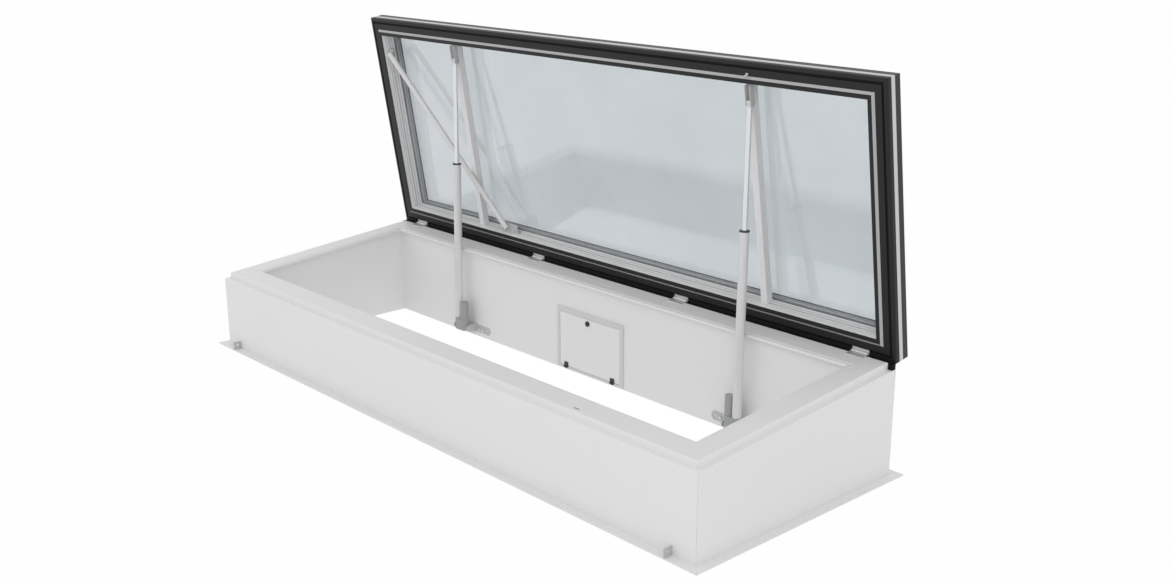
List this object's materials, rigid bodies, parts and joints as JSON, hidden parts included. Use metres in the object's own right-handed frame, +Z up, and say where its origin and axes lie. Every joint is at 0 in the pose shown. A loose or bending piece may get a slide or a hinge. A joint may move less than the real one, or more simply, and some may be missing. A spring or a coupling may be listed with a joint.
{
  "type": "roof access hatch",
  "caption": "Flat-roof access hatch: insulated sloping curb with a flange, hinged glazed lid held open by linear drives, cross bars and an access door in the curb.",
  "frame": {"origin": "centre of the curb's outer footprint, on the underside of its roof flange", "axes": "+X along the hatch, +Y towards the hinge side, +Z up"},
  "size_m": [2.972, 1.1179, 1.4257],
  "materials": {
    "white_paint": "satin",
    "foam": "matt",
    "dark_frame": "matt",
    "light_aluminium": "satin",
    "black_cover": "satin",
    "black_rubber": "matt",
    "clear_glass": "polished",
    "spacer_grey": "matt",
    "white_tube": "gloss",
    "drive_grey": "satin",
    "zinc_steel": "satin",
    "brass_ring": "satin",
    "black_plastic": "matt"
  },
  "bodies": {
    "curb": {"curb_front": "white_paint", "curb_back": "white_paint", "curb_left": "white_paint", "curb_right": "white_paint", "curb_insulation": "foam", "curb_liner": "white_paint", "recess_tray": "white_paint", "lifting_lugs": "zinc_steel", "lock_keep": "zinc_steel", "hinge_seal": "black_rubber", "hinge_leaves_lower": "zinc_steel", "hinge_pins": "zinc_steel", "hinge_rings": "brass_ring", "base_pins": "zinc_steel", "wall_bolts": "zinc_steel", "base_bracket_left": "zinc_steel", "base_bracket_right": "zinc_steel", "door_frame": "white_paint", "door_hinges_fixed": "black_plastic"},
    "lid": {"lid_frame_front": "dark_frame", "lid_frame_back": "dark_frame", "lid_frame_left": "dark_frame", "lid_frame_right": "dark_frame", "lid_cover_front": "black_cover", "lid_cover_back": "black_cover", "lid_cover_left": "black_cover", "lid_cover_right": "black_cover", "lid_reveal": "light_aluminium", "hinge_leaves_upper": "zinc_steel", "side_strip": "light_aluminium", "groove_seal": "black_rubber", "lip_bead": "light_aluminium", "lip_gasket": "black_rubber", "glass_gaskets": "black_rubber", "pane_inner": "clear_glass", "pane_middle": "clear_glass", "pane_outer": "clear_glass", "spacers": "spacer_grey", "brace": "white_tube", "brace_brackets": "zinc_steel", "lock_tongue": "zinc_steel", "bar_left": "white_tube", "bar_right": "white_tube", "drive_bracket_left": "zinc_steel", "drive_bracket_right": "zinc_steel"},
    "access_door": {"door_panel": "white_paint", "door_hinges_moving": "black_plastic"},
    "door_lock": {"door_knob": "black_plastic"},
    "drive_left": {"gear_housing_left": "drive_grey", "motor_left": "drive_grey", "drive_tube_left": "white_tube", "rod_guide_left": "black_plastic"},
    "rod_left": {"push_rod_left": "white_tube", "rod_eye_left": "zinc_steel"},
    "drive_right": {"gear_housing_right": "drive_grey", "motor_right": "drive_grey", "drive_tube_right": "white_tube", "rod_guide_right": "black_plastic"},
    "rod_right": {"push_rod_right": "white_tube", "rod_eye_right": "zinc_steel"}
  },
  "joints": [
    {"name": "lid_hinge", "type": "hinge", "parent": "curb", "child": "lid", "pos_m": [0, 0.4923, 0.4249], "axis": [1, 0, 0], "range_deg": [0, 86]},
    {"name": "left_drive_tilt", "type": "hinge", "parent": "curb", "child": "drive_left", "pos_m": [0, 0.354, 0.045], "axis": [1, 0, 0], "range_deg": [0, 66.85]},
    {"name": "left_rod_slide", "type": "slide", "parent": "drive_left", "child": "rod_left", "axis": [0, -0.0136, -0.9999], "range_m": [0, 0.4448]},
    {"name": "right_drive_tilt", "type": "hinge", "parent": "curb", "child": "drive_right", "pos_m": [0, 0.354, 0.045], "axis": [1, 0, 0], "range_deg": [0, 66.85]},
    {"name": "right_rod_slide", "type": "slide", "parent": "drive_right", "child": "rod_right", "axis": [0, -0.0136, -0.9999], "range_m": [0, 0.4448]},
    {"name": "access_door_hinge", "type": "hinge", "parent": "curb", "child": "access_door", "pos_m": [0, 0.391, 0.016], "axis": [1, 0, 0], "range_deg": [0, 90]},
    {"name": "door_lock_turn", "type": "hinge", "parent": "access_door", "child": "door_lock", "pos_m": [-0.009, 0.39, 0.239], "axis": [0, -1, 0], "range_deg": [0, 90]}
  ],
  "couplings": [
    {"joint": "left_drive_tilt", "follows": "lid_hinge", "ratio": 0.77672},
    {"joint": "left_rod_slide", "follows": "lid_hinge", "m_per_rad": 0.2961},
    {"joint": "right_drive_tilt", "follows": "lid_hinge", "ratio": 0.77672},
    {"joint": "right_rod_slide", "follows": "lid_hinge", "m_per_rad": 0.2961}
  ]
}
